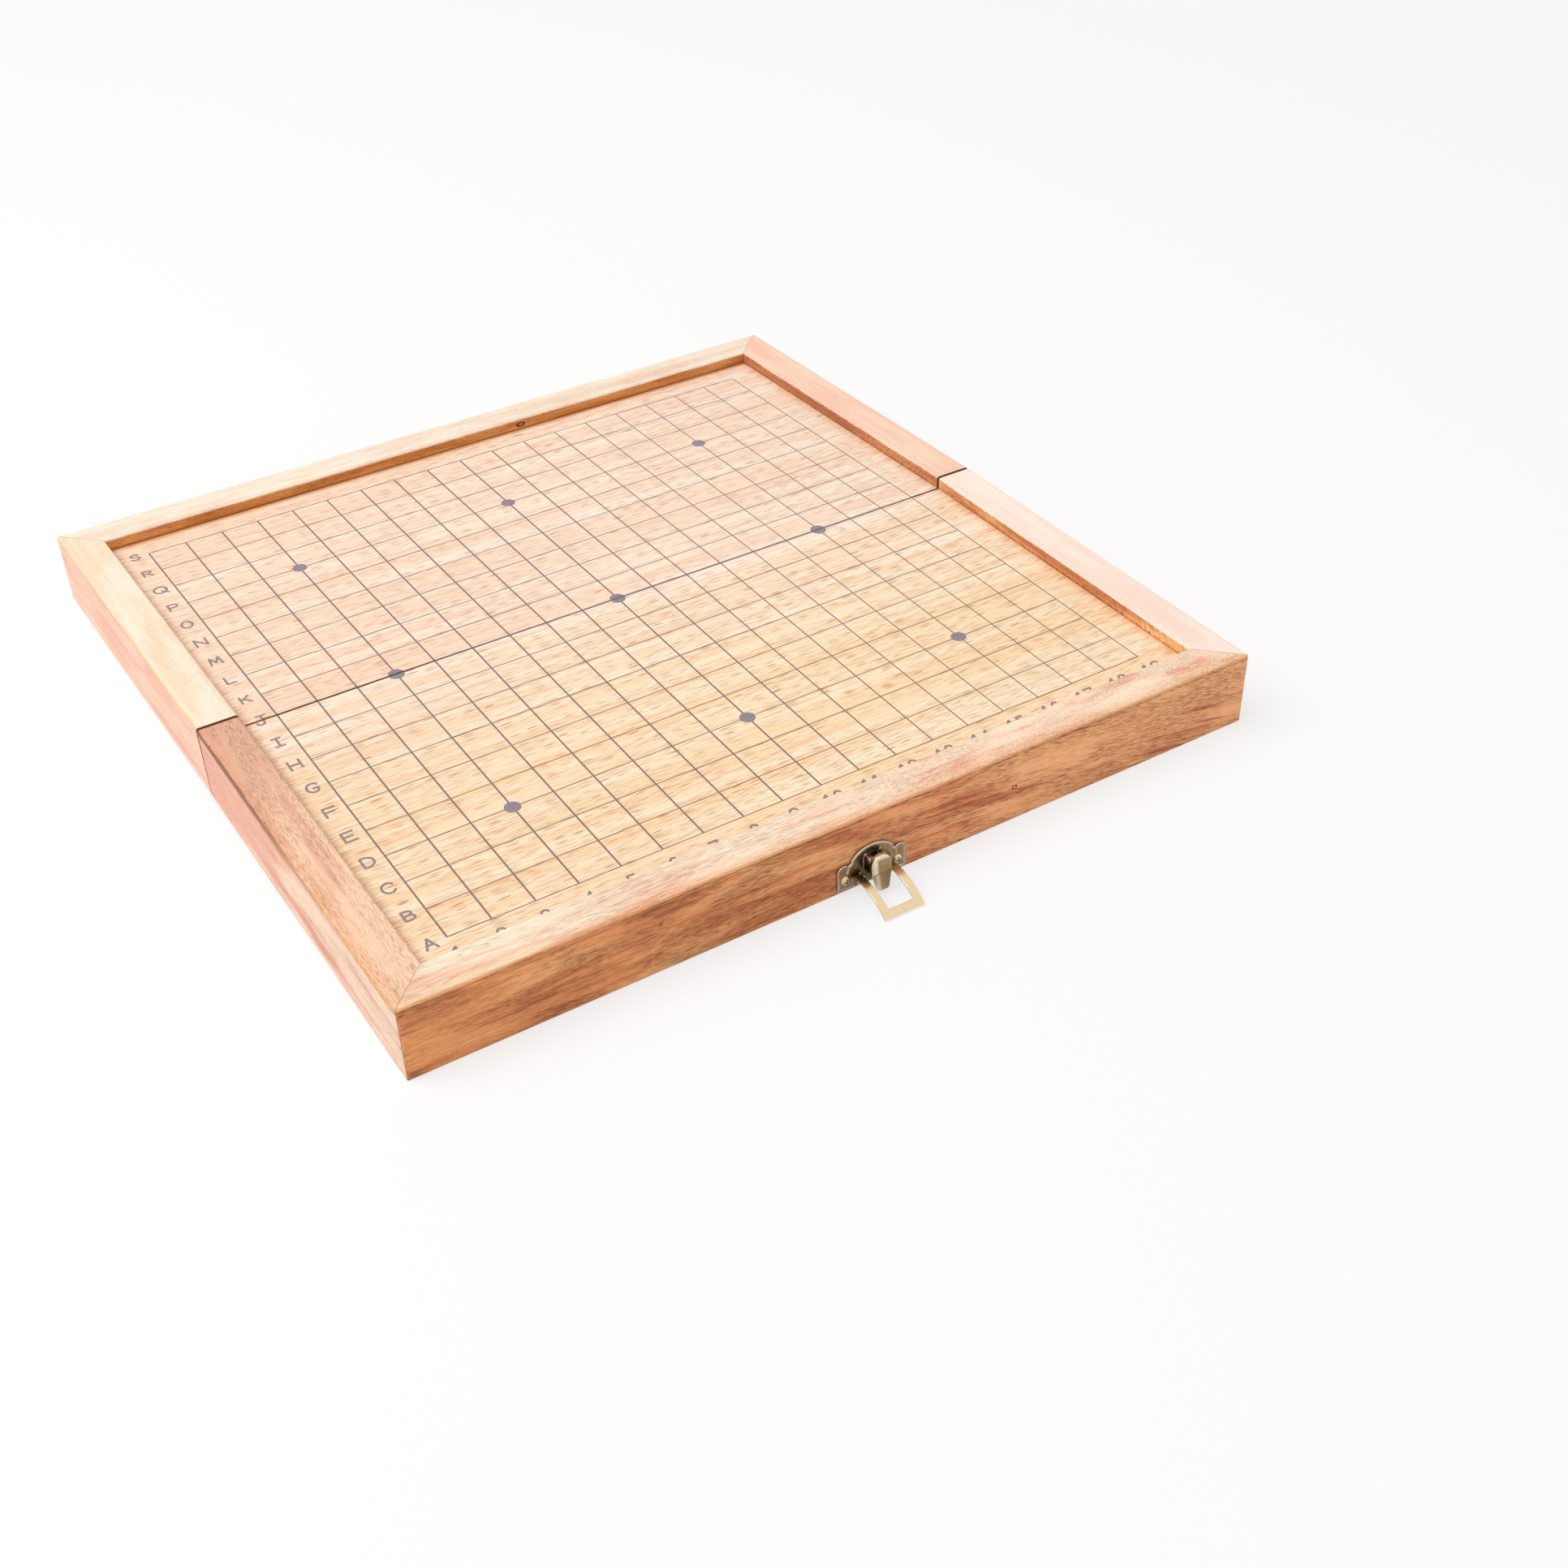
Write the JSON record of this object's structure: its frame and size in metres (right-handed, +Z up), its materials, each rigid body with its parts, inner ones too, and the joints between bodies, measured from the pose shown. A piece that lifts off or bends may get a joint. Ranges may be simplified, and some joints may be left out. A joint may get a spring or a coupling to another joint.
{
  "type": "folding game board",
  "caption": "Wooden game board that folds into a shallow case, with a recessed grid, hinges under the seam and a brass clasp.",
  "frame": {"origin": "the point on the table below the middle of the seam", "axes": "+X along the numbered edge to the right, +Y from the clasp to the far edge, +Z up from the table"},
  "size_m": [0.4, 0.4363, 0.0377],
  "materials": {
    "rail_wood": "clear matt lacquer, open pores",
    "panel_veneer": "satin lacquered plywood, grain along the numbered edge",
    "grid_ink": "screen-printed grey-violet ink",
    "hinge_brass": "plated and lightly tarnished",
    "clasp_brass": "antique bronze plate, bright on worn edges",
    "pin_steel": "plain drawn wire"
  },
  "bodies": {
    "back": {"back_rail": "rail_wood", "back_left_rail": "rail_wood", "back_right_rail": "rail_wood", "back_seam_rail": "rail_wood", "back_panel": "panel_veneer", "back_grid": "grid_ink", "left_hinge_back_leaf": "hinge_brass", "left_hinge_pin": "pin_steel", "right_hinge_back_leaf": "hinge_brass", "right_hinge_pin": "pin_steel", "back_hinge_screws": "hinge_brass", "catch_plate": "clasp_brass", "catch_screws": "clasp_brass"},
    "front": {"front_rail": "rail_wood", "front_left_rail": "rail_wood", "front_right_rail": "rail_wood", "front_seam_rail": "rail_wood", "front_panel": "panel_veneer", "front_grid": "grid_ink", "left_hinge_front_leaf": "hinge_brass", "right_hinge_front_leaf": "hinge_brass", "front_hinge_screws": "hinge_brass", "clasp_plate": "clasp_brass", "clasp_screws": "clasp_brass", "lever_pin": "pin_steel", "bail_rivets": "clasp_brass"},
    "lever": {"clasp_lever": "clasp_brass"},
    "bail": {"clasp_bail": "clasp_brass"}
  },
  "joints": [
    {"name": "fold", "type": "hinge", "parent": "back", "child": "front", "pos_m": [0, 0, 0.0025], "axis": [1, 0, 0], "range_deg": [-1.5, 178.4]},
    {"name": "lever_turn", "type": "hinge", "parent": "front", "child": "lever", "pos_m": [0.002, -0.20739, 0.01533], "axis": [-1, 0, 0], "range_deg": [0, 70]},
    {"name": "bail_turn", "type": "hinge", "parent": "front", "child": "bail", "pos_m": [0.002, -0.20627, 0.00654], "axis": [1, 0, 0], "range_deg": [-75, 77]}
  ]
}
